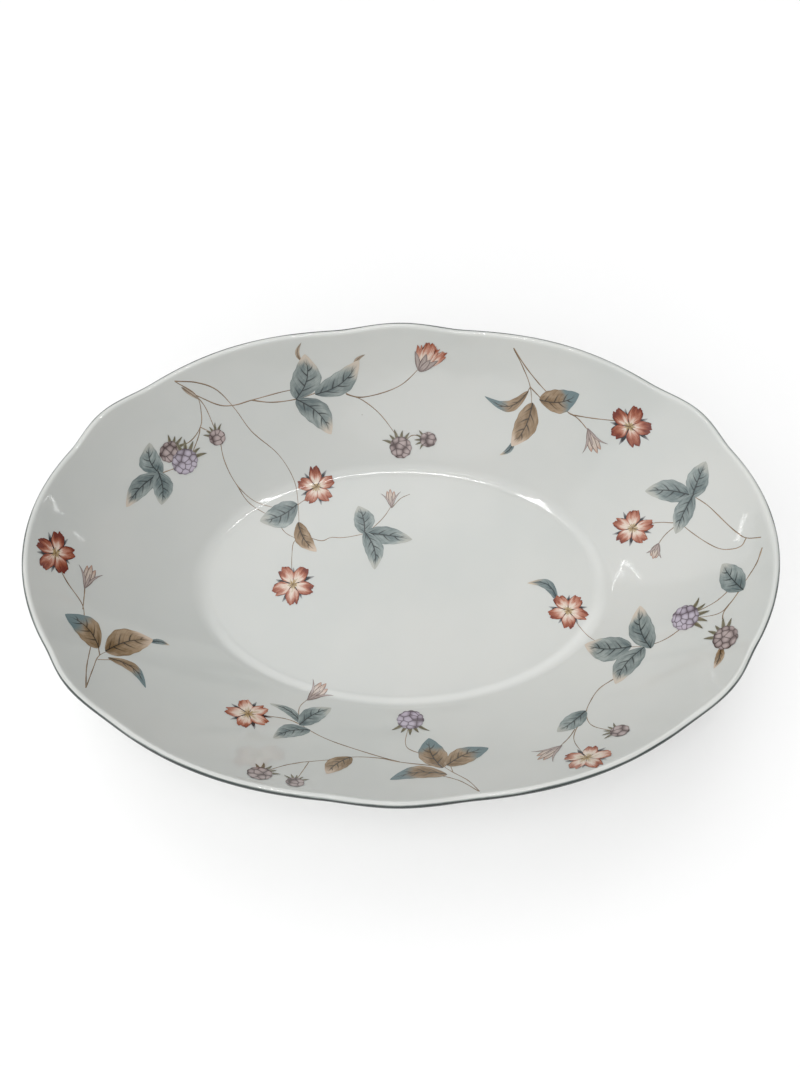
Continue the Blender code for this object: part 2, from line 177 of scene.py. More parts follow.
def inside(angle, slope_degrees):
    """Returns points of the inside wall at one slope, for an array of plan angles."""
    out, up = section(slope_degrees)
    plain = wall_top(angle, False)
    top = plain + (wall_top(angle, True) - plain) * out ** FLUTE_FADE
    foot = np.stack([FLOOR_HALF_LENGTH * np.cos(angle), FLOOR_HALF_WIDTH * np.sin(angle)], axis=-1)
    flat = foot + (top[..., :2] - foot) * out
    height = FLOOR_Z + (top[..., 2] - FLOOR_Z) * up
    return np.concatenate([flat, height[..., None]], axis=-1)


def wall_frame(angle, slope_degrees):
    """Returns the wall's outward normals and its upward tangents."""
    low = max(slope_degrees - SLOPE_STEP, 0.0)
    high = min(slope_degrees + SLOPE_STEP, LIP_SLOPE)
    around = inside(angle + AROUND_STEP, slope_degrees) - inside(angle - AROUND_STEP, slope_degrees)
    upward = unit(inside(angle, high) - inside(angle, low))
    return unit(np.cross(around, upward)), upward


def outside(angle, slope_degrees):
    """Returns points of the outside wall, opposite the inside."""
    thickness = FLOOR_THICKNESS + (2.0 * LIP_RADIUS - FLOOR_THICKNESS) * section(slope_degrees)[0]
    return inside(angle, slope_degrees) + wall_frame(angle, slope_degrees)[0] * thickness


def lip(angle, turn_degrees, clearance=0.0):
    """Returns points round the lip, from its inside edge at 0 degrees to its outside edge at 180."""
    normal, upward = wall_frame(angle, LIP_SLOPE)
    turn = np.radians(turn_degrees)
    turn = turn[..., None] if isinstance(turn_degrees, np.ndarray) else turn
    radius = LIP_RADIUS + clearance
    centre = inside(angle, LIP_SLOPE) + normal * LIP_RADIUS
    return centre + (upward * np.sin(turn) - normal * np.cos(turn)) * radius


def foot(angle, inset, height):
    """Returns points of the foot, set in from its outer top edge."""
    outward = unit(np.stack([FOOT_HALF_WIDTH * np.cos(angle), FOOT_HALF_LENGTH * np.sin(angle)], axis=-1))
    edge = np.stack([FOOT_HALF_LENGTH * np.cos(angle), FOOT_HALF_WIDTH * np.sin(angle)], axis=-1)
    return np.concatenate([edge - outward * inset, np.full(angle.shape + (1,), height)], axis=-1)


def flank_inset(height):
    """Returns how far the foot's flank leans in at a height."""
    return FOOT_TAPER * (FOOT_HEIGHT - height) / (FOOT_HEIGHT - FOOT_TAPER)


def shrunk(ring, share):
    """Scales a flat ring in plan."""
    return ring * (share, share, 1.0)


def inner_inset(height):
    """Returns how far in the foot's inner face is at a height."""
    return FOOT_INNER + INNER_LEAN * height


def flare(angle, start):
    """Returns rings that curve from the outside wall's own tangent down to the foot's flank."""
    tangent = unit(start - outside(angle, FLARE_SLOPE + 1.0))
    end = foot(angle, flank_inset(FLARE_START), FLARE_START)
    away = np.linalg.norm((start - end)[:, :2], axis=-1, keepdims=True)
    run = np.linalg.norm(tangent[:, :2], axis=-1, keepdims=True)
    corner = start + tangent * away / run * FLARE_FULLNESS
    rings = []
    for share in np.linspace(0.0, 1.0, FLARE_RINGS)[1:]:
        rings.append(start * (1 - share) ** 2 + corner * 2 * share * (1 - share) + end * share ** 2)
    return rings


def underside(angle):
    """Returns rings down the foot's flank, round the glaze's edge, up inside and over the underside."""
    edge = flank_inset(GLAZE_EDGE)
    profile = [(flank_inset(height), height) for height in FLANK_HEIGHTS]
    # The glaze ends in two eased edges, and the bare foot hides the gap between them.
    profile += [(edge + 0.0001, GLAZE_EDGE), (edge + 0.0004, GLAZE_EDGE + 0.0001)]
    profile += [(FOOT_INNER - 0.0004, GLAZE_EDGE + 0.0001), (FOOT_INNER - 0.0001, GLAZE_EDGE)]
    profile += [(inner_inset(height), height) for height in INNER_HEIGHTS]
    start, low = inner_inset(INNER_HEIGHTS[-1]), INNER_HEIGHTS[-1]
    for turn in np.radians(np.linspace(0.0, 90.0, COVE_RINGS)[1:]):
        height = low + (FOOT_HEIGHT + GAP - low) * math.sin(turn)
        profile.append((start + COVE_WIDTH * (1.0 - math.cos(turn)), height))
    rings = [foot(angle, inset, height) for inset, height in profile]
    return rings + [shrunk(rings[-1], share) for share in np.linspace(1.0, UNDER_MIDDLE, UNDER_RINGS)[1:]]


def body_rings(angle):
    """Returns the glazed body's rings: floor, wall, lip, outside, flare, foot and underside."""
    floor = inside(angle, 0.0)
    rings = [shrunk(floor, (step + 1) / FLOOR_RINGS) for step in range(FLOOR_RINGS)]
    rings += [inside(angle, slope) for slope in np.linspace(0.0, FILLET_SLOPE, FILLET_RINGS)[1:]]
    rings += [inside(angle, slope) for slope in np.linspace(FILLET_SLOPE, LIP_SLOPE, SWEEP_RINGS)[1:]]
    rings += [lip(angle, turn) for turn in np.linspace(0.0, 180.0, LIP_RINGS + 1)[1:-1]]
    rings += [outside(angle, slope) for slope in np.linspace(LIP_SLOPE, FLARE_SLOPE, OUTSIDE_RINGS)]
    return rings + flare(angle, rings[-1]) + underside(angle)


def ring_faces(count, steps, closed=False):
    """Returns the quads between rings, each with the same number of steps round."""
    here = np.arange(steps)
    ahead = (here + 1) % steps
    faces = []
    for index in range(count if closed else count - 1):
        low = index * steps
        high = ((index + 1) % count) * steps
        faces.append(np.stack([low + here, high + here, high + ahead, low + ahead], axis=-1))
    return np.concatenate(faces)


def add_object(name, data):
    """Adds an object to the scene."""
    made = bpy.data.objects.new(name, data)
    bpy.context.scene.collection.objects.link(made)
    return made


def mesh_object(name, points, faces):
    """Makes a smooth-shaded object from arrays of points and faces."""
    data = bpy.data.meshes.new(name)
    data.from_pydata(points.tolist(), [], [list(face) for face in faces])
    data.validate()
    data.shade_smooth()
    return add_object(name, data)


# ---------------------------------------------------------------- materials

# What the glaze's own gloss adds to a printed colour, and how bright the studio light is on it.
GLOSS_LIGHT = 0.035
STUDIO_LIGHT = 0.90


def paint(red, green, blue):
    """Turns a printed colour, as it is seen in the studio light, into the pigment's own colour."""
    seen = [(value / 255.0) ** 2.2 for value in (red, green, blue)]
    return tuple(max(0.006, (value - GLOSS_LIGHT) / STUDIO_LIGHT) for value in seen) + (1.0,)


class Value:
    """A value in a node tree, with arithmetic that adds Math nodes."""

    def __init__(self, tree, socket):
        self.tree = tree
        self.socket = socket

    def math(self, operation, other=0.0):
        """Adds a Math node."""
        return self.tree.add("Math", {0: self, 1: other}, operation=operation)

    def __add__(self, other):
        return self.math("ADD", other)

    def __sub__(self, other):
        return self.math("SUBTRACT", other)

    def __mul__(self, other):
        return self.math("MULTIPLY", other)

    def __truediv__(self, other):
        return self.math("DIVIDE", other)

    def __gt__(self, other):
        return self.math("GREATER_THAN", other)

    def __abs__(self):
        return self.math("ABSOLUTE")

    def most(self, other):
        """Returns the larger of two values."""
        return self.math("MAXIMUM", other)

    def least(self, other):
        """Returns the smaller of two values."""
        return self.math("MINIMUM", other)

    def fraction(self):
        """Returns what is left past the whole number."""
        return self.math("FRACT")

    def clamped(self):
        """Keeps the last node's value from 0 to 1."""
        self.socket.node.use_clamp = True
        return self

    def smooth(self, low, high, at_low=0.0, at_high=1.0):
        """Steps smoothly between two values."""
        inputs = {"Value": self, "From Min": low, "From Max": high, "To Min": at_low, "To Max": at_high}
        return self.tree.add("MapRange", inputs, interpolation_type="SMOOTHSTEP")

    def split(self):
        """Splits a vector in three."""
        return [Value(self.tree, each) for each in self.tree.node("SeparateXYZ", {0: self}).outputs]


class Tree:
    """Builds the node tree of a material, or of the world."""

    def __init__(self, name, made=None, shader="Principled BSDF"):
        self.made = made or bpy.data.materials.new(name)
        self.made.use_nodes = True
        self.nodes = self.made.node_tree.nodes
        self.links = self.made.node_tree.links
        self.shader = self.nodes[shader]

    def feed(self, socket, value):
        """Links a socket, or sets its value."""
        if isinstance(value, Value):
            self.links.new(value.socket, socket)
        else:
            socket.default_value = value

    def node(self, kind, inputs, **settings):
        """Adds a node and feeds its inputs by name or place."""
        node = self.nodes.new("ShaderNode" + kind)
        for key, value in settings.items():
            setattr(node, key, value)
        for key, value in inputs.items():
            self.feed(node.inputs[key], value)
        return node

    def add(self, kind, inputs, output=0, **settings):
        """Adds a node and returns one of its outputs."""
        return Value(self, self.node(kind, inputs, **settings).outputs[output])

    def mix(self, factor, first, second, blend="MIX"):
        """Mixes two colours."""
        inputs = {0: factor, 6: first, 7: second}
        return self.add("Mix", inputs, output=2, data_type="RGBA", blend_type=blend)

    def noise(self, vector, scale, detail=2.0, roughness=0.5):
        """Adds a noise texture and returns its value."""
        inputs = {"Vector": vector, "Scale": scale, "Detail": detail, "Roughness": roughness}
        return self.add("TexNoise", inputs)

    def cells(self, vector, scale, randomness=1.0, **settings):
        """Adds a Voronoi texture and returns its distance, and the colour that each cell has by chance."""
        inputs = {"Scale": scale, "Randomness": randomness, "Vector": vector}
        outputs = self.node("TexVoronoi", inputs, **settings).outputs
        return Value(self, outputs[0]), Value(self, outputs[1])

    def attribute(self, name, output="Vector"):
        """Reads a value stored on the mesh."""
        return self.add("Attribute", {}, output, attribute_name=name)

    def inks(self):
        """Reads a print's ink and its wash."""
        return self.attribute("ink", "Color"), self.attribute("wash", "Color")

    def tip(self):
        """Reads the colour of a print's tip, and how far it comes in."""
        return self.attribute("tip", "Color"), self.attribute("tip", "Alpha")

    def join(self, x, y, z):
        """Joins three values."""
        return self.add("CombineXYZ", {0: x, 1: y, 2: z})

    def place(self):
        """Returns the object's own coordinates."""
        return self.add("TexCoord", {}, output="Object")

    def set(self, **values):
        """Sets the shader's sockets, with _ for a space, and returns what the tree belongs to."""
        for key, value in values.items():
            self.feed(self.shader.inputs[key.replace("_", " ")], value)
        return self.made


def glaze(tree, roughness=0.045):
    """Gives a material the bowl's glaze: clear, glossy, and very slightly wavy."""
    place = tree.place()
    height = tree.noise(place, 55.0, 2.0, 0.45) + tree.noise(place, 900.0, 1.0, 0.5) * 0.012
    normal = tree.add("Bump", {"Strength": 1.0, "Distance": 0.00022, "Height": height})
    wear = tree.noise(place, 140.0, 3.0, 0.6)
    tree.set(Roughness=wear.smooth(0.35, 0.75, roughness, roughness + 0.03), Normal=normal)
    tree.set(Coat_Weight=0.35, Coat_Roughness=0.02, IOR=1.5)
    return place


def make_porcelain():
    """Makes the glazed porcelain: off-white, faintly clouded, with a few iron specks."""
    tree = Tree("glazed_porcelain")
    place = glaze(tree)
    cloud = tree.noise(place, 16.0, 3.0, 0.55).smooth(0.35, 0.70)
    colour = tree.mix(cloud, (0.570, 0.586, 0.565, 1.0), (0.604, 0.612, 0.588, 1.0))
    grain = tree.noise(place, 420.0, 3.0, 0.65)
    colour = tree.mix(grain.smooth(0.62, 0.80, 0.0, 0.10), colour, (0.52, 0.53, 0.50, 1.0))
    distance, chance = tree.cells(place, 62.0)
    speck = distance.smooth(0.010, 0.024, 1.0, 0.0) * chance.split()[0].smooth(0.80, 0.86)
    colour = tree.mix(speck * 0.45, colour, (0.20, 0.18, 0.14, 1.0))
    tree.set(Subsurface_Weight=0.08, Subsurface_Scale=0.0015, Subsurface_Radius=(1.0, 0.85, 0.65))
    return tree.set(Base_Color=colour)


def make_bare_porcelain():
    """Makes the unglazed rim of the foot: matt, warmer, faintly gritty and rubbed grey."""
    tree = Tree("bare_porcelain")
    place = tree.place()
    grain = tree.noise(place, 1500.0, 4.0, 0.7)
    rub = tree.noise(place, 120.0, 4.0, 0.65)
    colour = tree.mix(rub.smooth(0.45, 0.75), (0.60, 0.57, 0.50, 1.0), (0.44, 0.42, 0.38, 1.0))
    colour = tree.mix(grain.smooth(0.55, 0.75, 0.0, 0.35), colour, (0.36, 0.33, 0.28, 1.0))
    normal = tree.add("Bump", {"Strength": 0.6, "Distance": 0.00006, "Height": grain})
    return tree.set(Base_Color=colour, Roughness=rub.smooth(0.3, 0.8, 0.85, 0.65), Normal=normal)


def make_rim_enamel():
    """Makes the rim line: dark grey-green enamel, brushed on by hand, so it pools and thins, with painted
    sheen at its top.
    """
    tree = Tree("rim_line_enamel")
    place = glaze(tree, 0.16)
    pool = tree.noise(place, 38.0, 4.0, 0.7)
    streak = tree.noise(place, 320.0, 3.0, 0.7)
    colour = tree.mix(pool.smooth(0.35, 0.68), (0.007, 0.014, 0.013, 1.0), (0.024, 0.036, 0.034, 1.0))
    colour = tree.mix(streak.smooth(0.60, 0.86, 0.0, 0.30), colour, (0.16, 0.19, 0.18, 1.0))
    # Painted reflection: the top of the line, towards the lip's crown, is painted pale, as if it mirrored the
    # bright room.
    share = (pool - 0.5) * 0.5 + tree.attribute("share", "Fac")
    return tree.set(Base_Color=tree.mix(share.smooth(-0.02, 0.22), (0.36, 0.39, 0.37, 1.0), colour))


def make_leaf_colours():
    """Makes the printed leaf: a clouded wash, a midrib and curved side veins in ink, and its tip's colour."""
    tree = Tree("transfer_leaf")
    glaze(tree)
    across, along, seed = tree.attribute("place").split()
    x, _, veined = tree.attribute("size").split()
    ink, wash = tree.inks()
    tip, tipped = tree.tip()
    side = abs(across)
    # Side veins leave the midrib and curve towards the tip, and the two sides alternate.
    sweep = side * (side * 0.15 + 0.13)
    phase = (along - sweep) * 4.4 + ((across > 0.0) * 0.45 + seed)
    step = phase.fraction()
    vein = (abs(step - 0.5) * 2.0 / (side * -0.14 + 0.26)).smooth(0.20, 1.0, 1.0, 0.0)
    vein = vein * side.smooth(0.35, 0.82, 1.0, 0.0)
    vein = vein * along.smooth(0.70, 0.95, 1.0, 0.0)
    fine = abs((phase * 4.0).fraction() - 0.5).smooth(0.05, 0.40, 0.12, 0.0)
    rib = (abs(x) / (along * -0.22 + 0.42)).smooth(0.35, 1.0, 1.0, 0.0)
    rib = rib * along.smooth(0.72, 0.95, 1.0, 0.0)
    lines = rib.most(vein.most(fine))
    # The ink gathers at the base and by the midrib, and the wash thins outwards, broken by noise.
    cloud = tree.noise(tree.join(across * 1.3, along * 2.4, seed), 1.2, 3.0, 0.6)
    light = (cloud * 1.7 - 0.80 + side * 0.42 + step * -0.16 + along * 0.42).clamped()
    light = light * side.smooth(0.90, 1.0, 1.0, 0.55)
    colour = tree.mix(light, ink, wash)
    reach = cloud * 0.35 + (side * 0.08 + along)
    reach = (tipped - 1.0).most(0.0) * 0.30 + reach
    colour = tree.mix(reach.smooth(0.88, 1.14) * tipped.least(1.0), colour, tip)
    dark = tree.mix(1.0, ink, (0.12, 0.12, 0.12, 1.0), "MULTIPLY")
    return tree.set(Base_Color=tree.mix(lines * (veined * 0.92), colour, dark))


# A petal's colours from its root to its edge, each with its place.
PETAL_STOPS = ((0.05, (186, 168, 144)), (0.24, (216, 205, 193)), (0.44, (206, 182, 168)),
               (0.62, (178, 128, 111)), (0.82, (145, 88, 71)), (1.0, (112, 65, 52)))


def make_petal_colours():
    """Makes the printed petal: cream at its root, streaked to coral red at its edge."""
    tree = Tree("transfer_petal")
    glaze(tree)
    across, along, seed = tree.attribute("place").split()
    x, y, _ = tree.attribute("size").split()
    streak = tree.noise(tree.join(across * 5.0, along * 0.9, seed), 1.5, 3.0)
    patch = tree.noise(tree.join(across * 1.1, along, seed), 1.8, 2.0)
    stipple = tree.noise(tree.join(x, y, seed), 4.0, 1.0, 0.5)
    level = (streak - 0.5) * 0.40 + along + (patch * 0.9 - 0.45)
    level = level + abs(across).smooth(0.60, 1.0) * 0.22 + (stipple * 0.24 - 0.12)
    level = level + (tree.tip()[1] * 0.5 - 0.25)
    ramp = tree.node("ValToRGB", {0: level})
    elements = ramp.color_ramp.elements
    while len(elements) < len(PETAL_STOPS):
        elements.new(0.5)
    for element, (position, colour) in zip(elements, PETAL_STOPS):
        element.position = position
        element.color = paint(*colour)
    thread = abs((across * 4.5).fraction() - 0.5).smooth(0.0, 0.22, 0.18, 0.0)
    thread = thread * along.smooth(0.15, 0.5)
    return tree.set(Base_Color=tree.mix(thread, Value(tree, ramp.outputs[0]), paint(140, 84, 70)))


def make_bud_colours():
    """Makes the printed bud and calyx: pale folds between ink outlines, and a tip of another colour."""
    tree = Tree("transfer_bud")
    glaze(tree)
    across, along, seed = tree.attribute("place").split()
    ink, wash = tree.inks()
    tip, tipped = tree.tip()
    cloud = tree.noise(tree.join(across, along * 2.0, seed), 1.6, 2.0)
    outer = (cloud * 0.3 + abs(across)).smooth(0.62, 1.10, 0.0, 0.95)
    root = along.smooth(0.0, 0.38, 0.75, 0.0)
    fold = abs((across * 1.5 + seed).fraction() - 0.5).smooth(0.02, 0.20, 0.45, 0.0)
    colour = tree.mix(along.smooth(0.70, 1.0) * tipped, wash, tip)
    return tree.set(Base_Color=tree.mix(outer.most(root.most(fold)), colour, ink))


# How many drupelets of a berry there are to a millimetre, and how unevenly they lie.
DRUPELETS = (0.36, 0.75)


def make_berry_colours():
    """Makes the printed berry: rounded drupelets, each lit at its middle and inked at its edge."""
    tree = Tree("transfer_berry")
    glaze(tree)
    across, along, seed = tree.attribute("place").split()
    x, y, _ = tree.attribute("size").split()
    ink, wash = tree.inks()
    spot = tree.join(x, y, seed)
    middle, chance = tree.cells(spot, *DRUPELETS, voronoi_dimensions="2D")
    edge, _ = tree.cells(spot, *DRUPELETS, voronoi_dimensions="2D", feature="DISTANCE_TO_EDGE")
    lit = middle.smooth(0.10, 0.75, 1.0, 0.15) + (chance.split()[0] * 0.5 - 0.25)
    lit = (lit + (along * -0.25 + across * -0.12)).clamped()
    dark = tree.mix(1.0, ink, (0.42, 0.38, 0.38, 1.0), "MULTIPLY")
    colour = tree.mix(edge.smooth(0.0, 0.12, 0.75, 0.0), tree.mix(lit, ink, wash), dark)
    radius = tree.add("VectorMath", {0: tree.join(across, along, 0.0)}, output="Value", operation="LENGTH")
    return tree.set(Base_Color=tree.mix(radius.smooth(0.80, 1.0, 0.0, 0.55), colour, dark))


def make_stem_colours():
    """Makes the printed stem: a thin brown line, darker along one edge and broken in tone."""
    tree = Tree("transfer_stem")
    cloud = tree.noise(glaze(tree), 180.0, 2.0, 0.5)
    across = tree.attribute("place").split()[0]
    level = across * 0.35 + cloud
    return tree.set(Base_Color=tree.mix(level.smooth(0.25, 0.85), *tree.inks()))


# ---------------------------------------------------------------- the bowl itself

ANGLES = np.linspace(0.0, 2.0 * np.pi, PLAN_STEPS, endpoint=False)


def make_body():
    """Makes the glazed body as one closed mesh."""
    rings = body_rings(ANGLES)
    first = rings[0].mean(axis=0)
    last = rings[-1].mean(axis=0)
    points = np.concatenate(rings + [first[None], last[None]])
    faces = ring_faces(len(rings), PLAN_STEPS).tolist()
    low = (len(rings) - 1) * PLAN_STEPS
    top = len(rings) * PLAN_STEPS
    for index in range(PLAN_STEPS):
        ahead = (index + 1) % PLAN_STEPS
        faces.append((top, index, ahead))
        faces.append((top + 1, low + ahead, low + index))
    made = mesh_object("glazed_body", points, faces)
    made.data.materials.append(make_porcelain())
    return made


def make_foot():
    """Makes the bare rim of the foot, a closed ring with eased edges that the bowl stands on."""
    bare = GLAZE_THICKNESS
    profile = (
        (flank_inset(0.0016) + bare, 0.0016), (flank_inset(0.0009) + bare, 0.0009), (0.00100, 0.00045),
        (0.00118, 0.00015), (0.00145, 0.0), (0.0029, 0.0), (0.0043, 0.0), (0.00462, 0.00015),
        (0.00482, 0.00045), (FOOT_INNER - bare, 0.0009), (FOOT_INNER - bare, 0.0016),
    )
    rings = [foot(ANGLES, inset, height) for inset, height in profile]
    made = mesh_object("foot_rim", np.concatenate(rings), ring_faces(len(rings), PLAN_STEPS, closed=True))
    made.data.materials.append(make_bare_porcelain())
    return made


# The painted line on the lip: where it starts and ends in degrees round the lip, and how thick it is. Its
# start wanders as a brush does: waves of so many degrees, so many times round the bowl, from a start.
LINE_START = 80.0
LINE_END = 181.0
LINE_HEIGHT = 0.00003
LINE_SHARES = np.linspace(0.0, 1.0, 11)
BRUSH_WAVES = ((3.0, 7.0, 0.6), (2.2, 19.0, 2.0), (1.3, 43.0, 0.0))


def make_rim_line():
    """Makes the painted line over the outer half of the lip."""
    wander = sum(degrees * np.sin(times * ANGLES + start) for degrees, times, start in BRUSH_WAVES)
    rings = []
    for share in LINE_SHARES:
        turns = LINE_START + wander + (LINE_END - LINE_START - wander) * share
        rings.append(lip(ANGLES, turns, LINE_HEIGHT * (0.25 + 0.75 * math.sin(math.pi * share) ** 0.5)))
    made = mesh_object("rim_enamel", np.concatenate(rings), ring_faces(len(rings), PLAN_STEPS))
    share = made.data.attributes.new("share", "FLOAT", "POINT")
    share.data.foreach_set("value", np.repeat(LINE_SHARES, PLAN_STEPS))
    made.data.materials.append(make_rim_enamel())
    return made


# ---------------------------------------------------------------- flower transfers

# A grid of the glaze's heights: its step, its low corner and its size, in metres.
GRID_STEP = 0.0005
GRID_LOW = np.array((-0.142, -0.097))
GRID_SIZE = (0.284, 0.194)
NORMAL_STEP = 0.0006


class Glaze:
    """The bowl's inside as a grid of heights, for laying prints on it."""

    def __init__(self, body):
        data = body.data
        tree = BVHTree.FromPolygons([v.co for v in data.vertices], [f.vertices for f in data.polygons])
        columns, rows = (int(size / GRID_STEP) + 1 for size in GRID_SIZE)
        above, down = 0.1, Vector((0.0, 0.0, -1.0))
        self.heights = np.full((rows, columns), HEIGHT)
        for row in range(rows):
            for column in range(columns):
                start = (GRID_LOW[0] + column * GRID_STEP, GRID_LOW[1] + row * GRID_STEP, above)
                hit = tree.ray_cast(start, down)[0]
                if hit:
                    self.heights[row, column] = hit.z

    def height(self, flat):
        """Returns the glaze's height at plan points."""
        spot = (flat - GRID_LOW) / GRID_STEP
        cell = np.floor(spot).astype(int)
        part = spot - cell
        x, y = cell[..., 0], cell[..., 1]
        low = self.heights[y, x] * (1 - part[..., 0]) + self.heights[y, x + 1] * part[..., 0]
        high = self.heights[y + 1, x] * (1 - part[..., 0]) + self.heights[y + 1, x + 1] * part[..., 0]
        return low * (1 - part[..., 1]) + high * part[..., 1]

    def lay(self, flat, lift=0.0):
        """Returns points on the glaze, lifted along its normals, and the normals."""
        step = NORMAL_STEP
        lean_x = (self.height(flat + (step, 0)) - self.height(flat - (step, 0))) / (2 * step)
        lean_y = (self.height(flat + (0, step)) - self.height(flat - (0, step))) / (2 * step)
        normal = unit(np.stack([-lean_x, -lean_y, np.ones_like(lean_x)], axis=-1))
        point = np.concatenate([flat, self.height(flat)[..., None]], axis=-1)
        return point + normal * lift, normal


# Printed colours: ink, wash and tip as seen in the photo's light, how far the tip's colour comes in, and
# how strong the veins are. A petal's colours are in its material, so its last number but one says how red
# it is instead.
BLACK = (0, 0, 0)
TINTS = {
    "blue": ((98, 110, 111), (168, 176, 173), (186, 184, 176), 0.7, 1.0),
    "blue_beige": ((98, 109, 110), (167, 174, 170), (198, 187, 174), 1.0, 1.0),
    "brown": ((118, 98, 76), (178, 157, 133), (198, 180, 163), 1.0, 1.0),
    "brown_teal": ((122, 102, 80), (182, 162, 139), (112, 128, 131), 1.65, 1.0),
    "teal_brown": ((84, 98, 102), (146, 156, 154), (190, 176, 158), 1.0, 0.8),
    "curl": ((140, 124, 108), (196, 182, 166), (120, 116, 110), 0.5, 0.5),
    "bud": ((106, 91, 86), (194, 181, 170), (176, 130, 110), 0.7, 0.0),
    "mauve": ((104, 91, 90), (168, 156, 151), (104, 98, 98), 0.6, 0.0),
    "sepal": ((30, 36, 42), (56, 62, 68), (150, 150, 150), 1.0, 0.0),
    "calyx": ((92, 88, 74), (150, 144, 124), (92, 90, 80), 0.6, 0.2),
    "lilac": ((114, 105, 112), (180, 172, 184), BLACK, 0.0, 0.0),
    "plum": ((94, 81, 80), (172, 158, 156), BLACK, 0.0, 0.0),
    "stem": ((110, 94, 78), (166, 148, 130), BLACK, 0.0, 0.0),
    "stamen": ((128, 104, 72), (196, 176, 138), BLACK, 0.0, 0.0),
    "deep": (BLACK, BLACK, BLACK, 0.74, 0.0),
    "petal": (BLACK, BLACK, BLACK, 0.42, 0.0),
    "pale": (BLACK, BLACK, BLACK, 0.16, 0.0),
    "cup": (BLACK, BLACK, BLACK, 0.00, 0.0),
}
SLOTS = {"stem": 0, "leaf": 1, "petal": 2, "bud": 3, "berry": 4}

# How far above the glaze each kind of print lies, and how much higher each patch is than the one before it,
# in millimetres, so that no two meet.
LIFTS = {"stem": 0.02, "sepal": 0.035, "leaf": 0.05, "bud": 0.05, "petal": 0.055, "calyx": 0.06,
         "berry": 0.065, "stamen": 0.07, "cup": 0.075}
LAYER_STEP = 0.0015

# How many points a leaf, petal, berry and stem have across or round, and from root to tip.
LEAF_COLUMNS = 15
LEAF_ROWS_PER_MM = 2.2
PETAL_COLUMNS = 17
PETAL_ROWS = 12
BERRY_COLUMNS = 72
BERRY_ROWS = 10
STEM_STEP = 0.7


